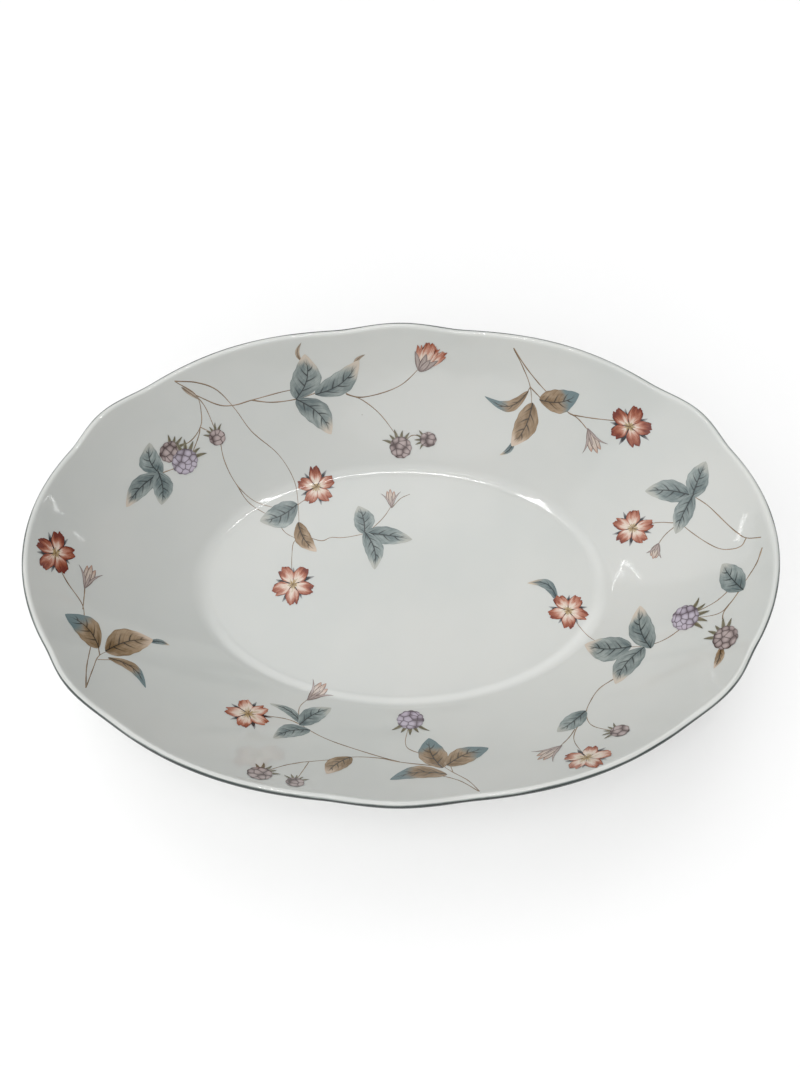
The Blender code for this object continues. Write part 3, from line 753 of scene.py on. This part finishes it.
class Print:
    """Collects one spray's patches of colour, each lying a little above the one before."""

    def __init__(self, surface, seed):
        self.surface = surface
        self.draw = random.Random(seed).uniform
        self.points = []
        self.normals = []
        self.faces = []
        self.slots = []
        self.values = {"place": [], "size": [], "ink": [], "wash": [], "tip": []}
        self.count = 0
        self.layers = 0

    def patch(self, flat, slot, tint, place, size, lift, closed=False):
        """Adds a grid of plan points, with each one's place in the print and its size in millimetres."""
        rows, columns = flat.shape[:2]
        self.layers += 1
        points, normals = self.surface.lay(flat.reshape(-1, 2), (lift + LAYER_STEP * self.layers) * MM)
        middle = rows // 2
        across = flat[middle, 1] - flat[middle, 0]
        ahead = flat[middle + 1, 0] - flat[middle, 0]
        upright = across[0] * ahead[1] > across[1] * ahead[0]
        for row in range(rows - 1):
            for column in range(columns if closed else columns - 1):
                near = self.count + row * columns + column
                beside = self.count + row * columns + (column + 1) % columns
                face = (near, beside, beside + columns, near + columns)
                self.faces.append(face if upright else face[::-1])
                self.slots.append(SLOTS[slot])
        ink, wash, tip, tipped, veined = TINTS[tint]
        colours = {"ink": paint(*ink), "wash": paint(*wash), "tip": paint(*tip)[:3] + (tipped,)}
        self.points.append(points)
        self.normals.append(normals)
        self.values["place"].append(np.stack(np.broadcast_arrays(*place), axis=-1).reshape(-1, 3))
        self.values["size"].append(np.stack(np.broadcast_arrays(*size, veined), axis=-1).reshape(-1, 3))
        for key, colour in colours.items():
            self.values[key].append(np.tile(colour, (rows * columns, 1)))
        self.count += rows * columns

    def frame(self, base, ahead):
        """Returns a point on the glaze, the tangents ahead and to the side, and the length in millimetres."""
        flat = np.array((base, ahead)) * MM
        points, _ = self.surface.lay(flat)
        _, normal = self.surface.lay(flat.mean(axis=0))
        along = unit(points[1] - points[0])
        return points[0], along, unit(np.cross(normal, along)), np.linalg.norm(points[1] - points[0]) / MM

    def spread(self, centre, along, side, x, y):
        """Returns the plan points that lie so many millimetres along and to the side of a centre."""
        return (centre + (along * x[..., None] + side * y[..., None]) * MM)[..., :2]

    def blade(self, base, along, side, length, width, tint, lift, bow=0.0, power=0.82, slot="leaf", teeth=0.0,
              curl=0.0):
        """Adds a leaf or a blade: pointed, bowed, a little uneven, with a faintly toothed edge."""
        v = np.linspace(0.0, 1.0, max(10, int(length * LEAF_ROWS_PER_MM)))[:, None]
        u = np.linspace(-1.0, 1.0, LEAF_COLUMNS)[None, :]
        seed = self.draw(0.0, 9.0)
        lean = self.draw(-0.06, 0.06)
        half = 0.5 * width * np.sin(np.pi * v ** power) ** 0.76
        half = half * (1.0 + teeth * np.sin(9.0 * np.pi * v + seed) * np.abs(u) ** 3)
        half = half * (1.0 + lean * np.sign(u))
        x = half * u + length * (bow * np.sin(np.pi * v) + curl * v ** 3)
        y = v * length + 0.10 * half * np.abs(u) * (1.0 - v)
        flat = self.spread(base, along, side, y, x)
        self.patch(flat, slot, tint, (u, v, seed), (half * u, y), LIFTS[lift])

    def leaf(self, base, tip, width, bow, tint):
        """Adds a leaf between two plan points in millimetres."""
        start, along, side, length = self.frame(base, tip)
        self.blade(start, along, side, length, width, tint, "leaf", bow=bow, teeth=0.025)

    def turned(self, along, side, degrees):
        """Turns two tangents about the normal."""
        turn = math.radians(degrees)
        ahead = along * math.cos(turn) + side * math.sin(turn)
        across = side * math.cos(turn) - along * math.sin(turn)
        return ahead, across

    def fan(self, base, along, side, blades, tint, lift, power=0.82):
        """Adds blades that spread from one point: each one's turn, length, width and curl."""
        for turn, length, width, curl in blades:
            ahead, across = self.turned(along, side, turn)
            self.blade(base, ahead, across, length, width, tint, lift, power=power, slot="bud", curl=curl)

    def stem(self, points, width=0.36):
        """Adds a thin line along a smooth curve through plan points in millimetres."""
        knots = np.array(points, float)
        knots = np.concatenate([[2 * knots[0] - knots[1]], knots, [2 * knots[-1] - knots[-2]]])
        line = []
        for index in range(1, len(knots) - 2):
            before, first, second, after = knots[index - 1:index + 3]
            count = max(2, int(np.linalg.norm(second - first) / STEM_STEP))
            t = np.linspace(0.0, 1.0, count, endpoint=False)[:, None]
            bend = (2 * before - 5 * first + 4 * second - after) * t ** 2
            twist = (3 * first - before - 3 * second + after) * t ** 3
            line.append(first + 0.5 * ((second - before) * t + bend + twist))
        line = np.concatenate(line + [knots[-2:-1]])
        ahead = np.gradient(line, axis=0)
        across = unit(np.stack([-ahead[:, 1], ahead[:, 0]], axis=-1))
        share = np.linspace(0.0, 1.0, len(line))
        taper = width * (1.0 - 0.35 * share) * (0.85 + 0.3 * np.sin(11.0 * share + len(points)) ** 2)
        u = np.linspace(1.0, -1.0, 3)
        flat = line[:, None, :] + across[:, None, :] * (0.5 * taper[:, None] * u)[..., None]
        along = share[:, None]
        self.patch(flat * MM, "stem", "stem", (u, along, 0.0), (u, along), LIFTS["stem"])

    def petal(self, centre, along, side, reach, spread, turn, squash, tint):
        """Adds a petal: narrow at its root, broad, ruffled and notched at its edge."""
        u = np.linspace(-1.0, 1.0, PETAL_COLUMNS)[None, :]
        v = np.linspace(0.06, 1.0, PETAL_ROWS)[:, None]
        seed = self.draw(0.0, 9.0)
        ruffle = 0.045 * np.cos(7.5 * u + seed) + 0.028 * np.cos(16.0 * u + 2.0 * seed)
        notch = self.draw(-0.45, 0.45)
        edge = 1.0 - 0.15 * np.exp(-((u - notch) / 0.11) ** 2) - 0.36 * np.abs(u) ** 4 + ruffle
        angle = math.radians(turn) + u * math.radians(spread) * (0.62 + 0.38 * np.sin(np.pi * v ** 1.2))
        radius = reach * (v * (1.0 - 0.35 * v ** 2) + 0.35 * v ** 3 * edge) * (0.65 + 0.35 * edge)
        x = radius * np.cos(angle)
        y = radius * np.sin(angle) * squash
        flat = self.spread(centre, along, side, x, y)
        self.patch(flat, "petal", tint, (u, v, seed), (x, y), LIFTS["petal"])

    def flower(self, middle, radius, turn, tint="petal", squash=1.0):
        """Adds an open flower: sepals behind, five petals, and a tuft of stamens."""
        x, y = middle
        centre, along, side, _ = self.frame(middle, (x + 0.1, y))
        for index in range(5):
            angle = turn + 36.0 + 72.0 * index + self.draw(-6.0, 6.0)
            ahead, across = self.turned(along, side * squash, angle)
            length = radius * self.draw(0.85, 1.12)
            self.blade(centre, ahead, across, length, 1.7, "sepal", "sepal", bow=0.03, power=0.9)
        for index in range(5):
            angle = turn + 72.0 * index + self.draw(-4.0, 4.0)
            reach = radius * self.draw(0.97, 1.04)
            self.petal(centre, along, side, reach, 35.5, angle, squash, tint)
        for index in range(15):
            angle = 24.0 * index + self.draw(-9.0, 9.0)
            ahead, across = self.turned(along, side * squash, angle)
            length = radius * self.draw(0.16, 0.30)
            self.blade(centre, ahead, across, length, 0.42, "stamen", "stamen", power=1.6)

    def half_flower(self, base, tip):
        """Adds a flower seen from the side: cupped petals out of a calyx with long sepals."""
        start, along, side, length = self.frame(base, tip)
        for turn, share, spread in ((33, 0.88, 15.0), (-17, 1.03, 14.0), (-3, 0.96, 13.0), (13, 1.05, 20.0)):
            self.petal(start, along, side, length * share, spread, turn, 1.0, "cup")
        sepals = ((41, 0.72, 2.2, 0.06), (-19, 0.70, 2.6, -0.03), (13, 0.66, 3.0, 0.04), (-4, 0.56, 2.6, 0.0))
        sepals = [(turn, length * share, width, curl) for turn, share, width, curl in sepals]
        self.fan(start, along, side, sepals, "mauve", "cup")

    def bud(self, base, tip, width):
        """Adds a bud: petals folded into a bell, with sepals curling away from it."""
        start, along, side, length = self.frame(base, tip)
        folds = ((-11, 0.90, 0.50), (11, 0.92, 0.50), (1, 1.0, 0.46))
        folds = [(turn, length * share, width * part, 0.0) for turn, share, part in folds]
        self.fan(start, along, side, folds, "bud", "bud", power=1.15)
        sepals = ((-17, 0.95, -0.26), (17, 0.90, 0.28), (-5, 0.66, 0.05))
        sepals = [(turn, length * share, width * 0.20, curl) for turn, share, curl in sepals]
        self.fan(start, along, side, sepals, "mauve", "calyx")

    def berry(self, middle, radius, tint, towards):
        """Adds a berry of drupelets, with a spiky calyx at an angle in plan."""
        x, y = middle
        turn = math.radians(towards)
        centre, along, side, _ = self.frame(middle, (x + 0.1 * math.cos(turn), y + 0.1 * math.sin(turn)))
        for turn in (-42, -20, 2, 22, 44):
            ahead, across = self.turned(along, side, turn)
            start = centre + ahead * radius * 0.50 * MM
            length = radius * self.draw(1.00, 1.35)
            curl = 0.006 * turn * self.draw(0.2, 1.0)
            self.blade(start, ahead, across, length, 0.28 * radius, "calyx", "calyx", power=0.7, curl=curl)
        v = np.linspace(0.0, 1.0, BERRY_ROWS)[:, None]
        turn = np.linspace(0.0, 2.0 * np.pi, BERRY_COLUMNS, endpoint=False)[None, :]
        knobs = max(7, round(radius * 2.1))
        scallop = 1.0 + 0.07 * (np.abs(np.cos(0.5 * knobs * turn)) - 0.6) * v ** 4
        reach = radius * np.maximum(v, 0.01) * scallop
        x = reach * np.cos(turn)
        y = reach * np.sin(turn) * 0.95
        seed = self.draw(0.0, 9.0)
        flat = self.spread(centre, along, side, x, y)
        place = (x / radius, y / radius, seed)
        self.patch(flat, "berry", tint, place, (x + 11.0 * seed, y), LIFTS["berry"], closed=True)

    def finish(self, name, materials):
        """Makes the piece from its patches."""
        made = mesh_object(name, np.concatenate(self.points), self.faces)
        data = made.data
        for key, values in self.values.items():
            values = np.concatenate(values)
            kind = "FLOAT_VECTOR" if values.shape[1] == 3 else "FLOAT_COLOR"
            layer = data.attributes.new(key, kind, "POINT")
            layer.data.foreach_set("vector" if kind == "FLOAT_VECTOR" else "color", values.ravel())
        for each in materials:
            data.materials.append(each)
        data.polygons.foreach_set("material_index", self.slots)
        data.normals_split_custom_set_from_vertices(np.concatenate(self.normals).tolist())
        return made


# Layout of each spray, in plan millimetres from the bowl's middle. Stem: the points that it runs through.
# Leaf: base, tip, width, bow, tint. Flower: middle, radius, one petal's angle, tint, squash. Half-open
# flower: base, tip. Bud: base, tip, width. Berry: middle, radius, tint, and the angle its calyx points at.
SPRAYS = {
    "transfer_back_left": {
        "stems": (
            ((-90, 69), (-82, 70.5), (-75, 70), (-69, 66), (-63, 60), (-53, 54), (-47, 46), (-45, 37),
             (-44, 26)),
            ((-40, 19), (-45.5, 18), (-46.5, 11), (-46, 0)),
            ((-90, 69), (-83, 67), (-82, 62), (-83, 58), (-87, 53), (-93, 49)),
            ((-83, 58), (-84, 55), (-87, 49)), ((-83, 58), (-78, 57)), ((-83, 67), (-80, 64), (-77, 57)),
            ((-83, 67), (-75, 66), (-69, 67), (-62, 69.5), (-51, 73), (-43, 75)),
            ((-62, 69.5), (-54, 70), (-44, 72), (-34, 75)),
            ((-28, 77), (-20, 74.5), (-12, 75), (0, 78), (9, 83)),
            ((-23, 75), (-16, 73.5), (-8, 69), (0, 61)), ((1, 60), (5, 63), (11, 62)),
            ((-101, 38), (-98, 40), (-91, 44)), ((-76, 56), (-75, 49), (-71, 41.5), (-64, 36), (-54, 33)),
            ((-71, 41.5), (-66, 35), (-56, 29)), ((-54, 28), (-50, 22), (-45, 19)), ((-47, 33), (-38, 40)),
            ((-41, 20), (-34, 18), (-30, 19.5), (-24, 19.5), (-14, 21.5)), ((-15, 21), (-8, 28), (-4, 34)),
            ((-4, 33), (0, 37.5), (4, 39.5)),
        ),
        "leaves": (
            ((-88, 68), (-82, 66), 1.6, 0.0, "curl"), ((-40.5, 82), (-40, 86.5), 1.8, 0.2, "curl"),
            ((-44, 72), (-39, 84), 12.5, -0.13, "blue_beige"),
            ((-19.5, 82), (-14.5, 85.5), 1.8, 0.15, "curl"),
            ((-36, 74), (-17, 84), 10.5, -0.12, "blue_beige"),
            ((-44, 72), (-30, 62.5), 10.5, 0.12, "blue_beige"), ((-99, 39), (-102, 48.5), 9, 0.16, "blue"),
            ((-100, 39), (-111.5, 24), 8, -0.09, "blue_beige"), ((-100, 40), (-99.5, 28), 8.5, 0.08, "blue"),
            ((-45, 35), (-61, 27), 11.5, 0.1, "blue"), ((-44.5, 26.5), (-36, 13), 7, -0.1, "brown"),
            ((-15.5, 21), (-18.5, 34), 9, -0.07, "blue"), ((-16, 21.5), (5, 18.5), 8, 0.02, "blue"),
            ((-15.5, 22), (-11, 5), 8, 0.12, "blue"),
        ),
        "flowers": (((-37, 43), 8.3, 100), ((-45.5, -1.5), 8.7, 55)),
        "half_flowers": (((8, 81.5), (15.5, 87)),),
        "buds": (((-4, 33), (-4.5, 42), 4.5),),
        "berries": (
            ((-95, 47.5), 4.6, "plum", 50), ((-90, 45.5), 5.6, "lilac", 62), ((-77, 56), 3.6, "plum", 130),
            ((0, 59), 5.0, "plum", 112), ((12, 61.5), 3.6, "plum", 178),
        ),
    },
    "transfer_back_right": {
        "stems": (
            ((46, 84.5), (50, 80), (54, 74), (55.5, 67)), ((46, 84.5), (52, 79), (58.5, 73.5), (63, 70)),
            ((54, 74), (52, 71.5)), ((54, 74), (59, 70)), ((66, 69), (70, 64.5), (75, 62.5), (90, 58)),
            ((70, 64.5), (74, 62), (79, 57)),
        ),
        "leaves": (
            ((53.5, 73), (35.5, 73.5), 5.5, 0.31, "brown_teal"),
            ((49, 59), (43, 54.5), 2.5, 0.14, "teal_brown"), ((55.5, 69.5), (48, 57), 9.5, 0.07, "brown"),
            ((58, 70), (73.5, 69), 11, -0.13, "brown_teal"),
        ),
        "flowers": (((93.5, 55.5), 8.8, 118, "deep"),),
        "buds": (((78, 58.5), (82.5, 49.5), 5.5),),
    },
    "transfer_right_end": {
        "stems": (
            ((135, 3), (131.5, 4.5), (129, 8), (122, 20), (116, 27)),
            ((131.5, 4.5), (130, 2), (127, 2), (123, 4.5), (115, 14.5), (113, 18)),
            ((114.5, 20), (113, 17.5), (106, 19.5), (99, 20)), ((113, 17.5), (108, 14), (104.5, 9)),
        ),
        "leaves": (
            ((117, 26), (101, 32.5), 9, -0.07, "blue"), ((116.5, 25.5), (120, 36.5), 9, 0.01, "blue"),
            ((117, 26.5), (111.5, 13.5), 8, -0.03, "blue"),
        ),
        "flowers": (((97.0, 19.5), 9.0, 75, "petal", 0.8),),
        "buds": (((106, 11.5), (103.5, 5.5), 5.5),),
    },
    "transfer_front_right": {
        "stems": (
            ((135, -1), (133, -6.5), (129, -13)), ((128.5, -14), (124, -20), (120, -23), (112, -22.5)),
            ((127, -12), (121, -17.5), (113, -21)), ((124, -20), (121.5, -24), (120.5, -32)),
            ((112, -24), (104, -29.5), (97, -31.5), (90, -31)), ((97, -31), (94, -35)),
            ((84, -44), (77, -48.5), (72, -55), (70, -59)), ((70, -13), (76.5, -23), (81, -28)),
            ((70, -58), (71, -64), (79, -67.5)), ((68, -61), (63.5, -69), (65, -76)),
            ((65, -65), (62, -68.5), (58, -72)), ((119, -35), (116.5, -40)),
        ),
        "leaves": (
            ((128.5, -15.5), (124.5, -3), 10.5, 0.03, "blue"),
            ((118, -37), (113.5, -45.5), 3.6, 0.07, "brown"),
            ((98, -33), (97.5, -13.5), 10.5, 0.09, "blue_beige"),
            ((92, -31), (75.5, -28), 12, 0.08, "blue_beige"),
            ((96, -32), (83, -47), 10.5, -0.1, "blue_beige"),
            ((66, -9), (53.5, -1), 4.5, -0.27, "teal_brown"), ((70.5, -57.5), (58.5, -66), 8.5, 0.04, "blue"),
        ),
        "flowers": (((70, -13), 8.6, 52, "petal", 0.88), ((65.5, -77), 8.4, 20, "pale", 0.9)),
        "buds": (((59, -71.5), (49, -77), 5.5),),
        "berries": (
            ((111, -22), 5.7, "lilac", 5), ((120, -33.5), 5.3, "plum", 100), ((79, -67), 3.6, "plum", 175),
        ),
    },
    "transfer_front": {
        "stems": (
            ((27.5, -89), (24, -84.5), (18, -80.5), (14, -77)), ((27.5, -89), (21, -84.5), (13, -82)),
            ((19, -81), (18, -77)), ((12, -74), (5, -72.5), (2, -69), (4, -59)),
            ((16, -79), (0, -77), (-7, -75.5), (-16, -75), (-23, -76), (-35, -77.5)),
            ((0, -77), (-10, -74), (-26, -68.5), (-35, -64), (-39, -61)),
            ((-35, -77.5), (-41, -79), (-48, -82)), ((-33, -77.5), (-36, -85)),
            ((-39, -61), (-40, -54.5), (-37, -50)), ((-38, -62), (-44.5, -59.5), (-57, -58)),
        ),
        "leaves": (
            ((15.5, -79.5), (11, -67), 10.5, 0.08, "brown_teal"),
            ((17, -78.5), (33, -71.5), 10.5, 0.1, "brown_teal"),
            ((17, -82), (-3.5, -84), 9, -0.17, "brown_teal"), ((-18, -75), (-26, -82), 8, -0.08, "brown"),
            ((-38, -61.5), (-51.5, -53), 4, -0.14, "blue"), ((-39, -62), (-27.5, -54), 8.5, 0.08, "blue"),
            ((-34.5, -64), (-47.5, -68), 8, -0.13, "blue"),
        ),
        "flowers": (((-58.5, -58), 8.8, 100, "pale", 0.95),),
        "buds": (((-37.5, -51), (-30, -43.5), 6),),
        "berries": (
            ((4, -59), 5.6, "lilac", 265), ((-48.5, -82.5), 4.6, "plum", 40), ((-36, -85.5), 3.4, "plum", 85),
        ),
    },
    "transfer_left_end": {
        "stems": (
            ((-111, -53.5), (-114, -44), (-116, -32)), ((-111, -53.5), (-112, -45), (-112, -39), (-108, -35)),
            ((-112, -39), (-114, -34)), ((-112, -41), (-107, -40)),
            ((-131, -3), (-127, -11), (-121.5, -19), (-119.5, -26)), ((-122, -11), (-121, -21)),
        ),
        "leaves": (
            ((-113, -36), (-125, -24.5), 11.5, -0.16, "brown_teal"),
            ((-99, -30), (-92, -30.5), 2.5, 0.1, "teal_brown"), ((-111, -37), (-98, -29), 12, 0.09, "brown"),
            ((-109.5, -39.5), (-95, -50.5), 5.2, 0.22, "brown_teal"),
        ),
        "flowers": (((-131, -1), 8.4, 88, "deep"),),
        "buds": (((-122, -12.5), (-121, -2), 5.5),),
    },
}


FIRST_SEED = 11


def make_transfer(surface, name, spray, seed, materials):
    """Prints one spray."""
    sheet = Print(surface, seed)
    for points in spray["stems"]:
        sheet.stem(points)
    for leaf in spray["leaves"]:
        sheet.leaf(*leaf)
    for bud in spray.get("buds", ()):
        sheet.bud(*bud)
    for flower in spray["flowers"]:
        sheet.flower(*flower)
    for flower in spray.get("half_flowers", ()):
        sheet.half_flower(*flower)
    for berry in spray.get("berries", ()):
        sheet.berry(*berry)
    return sheet.finish(name, materials)


# ---------------------------------------------------------------- studio

# Where the photo was taken from: how far the camera looks down in degrees, its turn and roll in radians, how
# far away it is and how far off its aim is in metres, and the lens in millimetres.
CAMERA_TILT = 70.6
CAMERA_YAW = -0.02229
CAMERA_ROLL = -0.02207
CAMERA_AWAY = 0.33418
CAMERA_AIM = (-0.000107, -0.003622)
RIM_HEIGHT = 0.0598
LENS = 30.37
SENSOR_WIDTH = 36.0


def turned_to(place, x_axis, y_axis, z_axis):
    """Returns the matrix that puts an object at a place, with its axes turned to three directions."""
    return Matrix.Translation(place) @ Matrix((x_axis, y_axis, z_axis)).transposed().to_4x4()


def make_camera():
    """Looks down on the bowl from the front."""
    tilt = math.radians(CAMERA_TILT)
    right = Vector((1.0, 0.0, 0.0))
    up = Vector((0.0, math.sin(tilt), math.cos(tilt)))
    ahead = Vector((0.0, math.cos(tilt), -math.sin(tilt)))
    spin = Matrix.Rotation(-CAMERA_YAW, 3, "Z")
    rolled_right = right * math.cos(CAMERA_ROLL) + up * math.sin(CAMERA_ROLL)
    rolled_up = up * math.cos(CAMERA_ROLL) - right * math.sin(CAMERA_ROLL)
    right, up, ahead = spin @ rolled_right, spin @ rolled_up, spin @ ahead
    aim = Vector((0.0, 0.0, RIM_HEIGHT))
    position = aim - right * CAMERA_AIM[0] - up * CAMERA_AIM[1] - ahead * CAMERA_AWAY
    data = bpy.data.cameras.new("camera")
    data.lens = LENS
    data.sensor_width = SENSOR_WIDTH
    data.clip_start = 0.01
    made = add_object("camera", data)
    made.matrix_world = turned_to(position, right, up, -ahead)
    bpy.context.scene.camera = made


FLOOR_REACH = 3.0


def make_floor():
    """Makes a plain pale floor."""
    corners = ((-1.0, -1.0, 0.0), (1.0, -1.0, 0.0), (1.0, 1.0, 0.0), (-1.0, 1.0, 0.0))
    floor = mesh_object("floor", np.array(corners) * FLOOR_REACH, [(0, 1, 2, 3)])
    tree = Tree("floor")
    mottle = tree.noise(tree.place(), 3.0, 2.0)
    colour = tree.mix(mottle, (0.955, 0.955, 0.955, 1.0), (0.965, 0.965, 0.965, 1.0))
    floor.data.materials.append(tree.set(Base_Color=colour, Roughness=0.9, Specular_IOR_Level=0.1))


# Strip lights that draw the thin highlights in the glaze: both ends, width, and brightness.
STRIPS = (
    ((0.18, -0.24, 0.96), (0.01, 0.01, 1.00), 0.010, 30.0),
    ((-0.17, -0.195, 0.96), (0.02, 0.095, 0.99), 0.012, 34.0),
    ((-0.02, -0.21, 0.98), (-0.10, -0.18, 0.98), 0.006, 22.0),
    ((-0.61, 0.40, 0.60), (-0.70, 0.10, 0.63), 0.005, 12.0),
    ((-0.70, 0.10, 0.63), (-0.70, 0.32, 0.54), 0.005, 9.0),
    ((1.07, -0.05, 0.12), (1.06, 0.03, 0.17), 0.016, 6.0),
    ((1.04, 0.15, 0.25), (1.03, 0.20, 0.29), 0.014, 5.0),
    ((-1.03, 0.25, 0.19), (-1.07, 0.06, 0.15), 0.016, 6.0),
)
# How bright the plain wall behind the floor looks to the camera.
BACKDROP = 0.36
# The room's own light: how bright it is all round, and its soft glows as direction, where each starts and is
# full (as a cosine), and how much brighter it gets there.
ROOM_LIGHT = 0.04
GLOWS = (
    ((-0.62, -0.52, 0.59), -0.30, 1.000, 0.62),
    ((0.60, -0.50, 0.60), -0.30, 1.000, 0.40),
    ((-0.10, -0.10, 0.99), 0.75, 1.000, 0.50),
    ((-0.93, -0.18, 0.32), 0.80, 0.840, 0.53),
    ((-0.15, 0.69, 0.71), 0.88, 1.000, 1.55),
    ((-0.12, -0.93, 0.34), 0.960, 0.975, 0.40),
    ((-0.25, 0.10, 0.96), 0.950, 0.995, 0.60),
    ((0.04, 0.60, 0.80), 0.930, 1.000, 0.90),
)


def make_strip(name, start, end, width, brightness):
    """Adds a thin light between two points, facing the bowl."""
    start, end = Vector(start), Vector(end)
    middle = (start + end) / 2.0
    length = (end - start).length
    data = bpy.data.lights.new(name, "AREA")
    data.shape = "RECTANGLE"
    data.size = length
    data.size_y = width
    data.energy = math.pi * length * width * brightness
    back = middle.normalized()
    along = (end - start).normalized()
    across = back.cross(along).normalized()
    back = along.cross(across)
    add_object(name, data).matrix_world = turned_to(middle, along, across, back)


def make_studio():
    """Lights the bowl with a white room that glows softly in places, and a few strip lights."""
    world = bpy.data.worlds.new("studio")
    tree = Tree("studio", world, "Background")
    direction = tree.add("TexCoord", {}, output="Generated")
    level = ROOM_LIGHT
    for towards, start, full, gain in GLOWS:
        facing = tree.add("VectorMath", {0: direction, 1: towards}, output="Value", operation="DOT_PRODUCT")
        level = tree.add("Math", {0: level, 1: facing.smooth(start, full, 0.0, gain)})
    by_camera = tree.add("LightPath", {}, output="Is Camera Ray")
    tree.set(Strength=tree.add("Mix", {0: by_camera, 2: level, 3: BACKDROP}), Color=(1.0, 1.0, 1.0, 1.0))
    bpy.context.scene.world = world
    for index, strip in enumerate(STRIPS):
        make_strip("strip_" + str(index + 1), *strip)


# ---------------------------------------------------------------- assembly

def tie(piece, node):
    """Ties a piece to the bowl's body in the frame, in place of a CAD node."""
    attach(piece, "root")
    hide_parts(node)


def main():
    """Builds every piece and ties it to the frame."""
    bpy.context.scene.view_settings.view_transform = "Standard"
    make_camera()
    make_studio()
    make_floor()
    body = make_body()
    tie(body, "bowl_body")
    tie(make_foot(), "foot_ring")
    tie(make_rim_line(), "rim_line")
    surface = Glaze(body)
    materials = [make_stem_colours(), make_leaf_colours(), make_petal_colours(), make_bud_colours(),
                 make_berry_colours()]
    for seed, (node, spray) in enumerate(SPRAYS.items(), FIRST_SEED):
        tie(make_transfer(surface, node.replace("transfer", "print"), spray, seed, materials), node)


main()
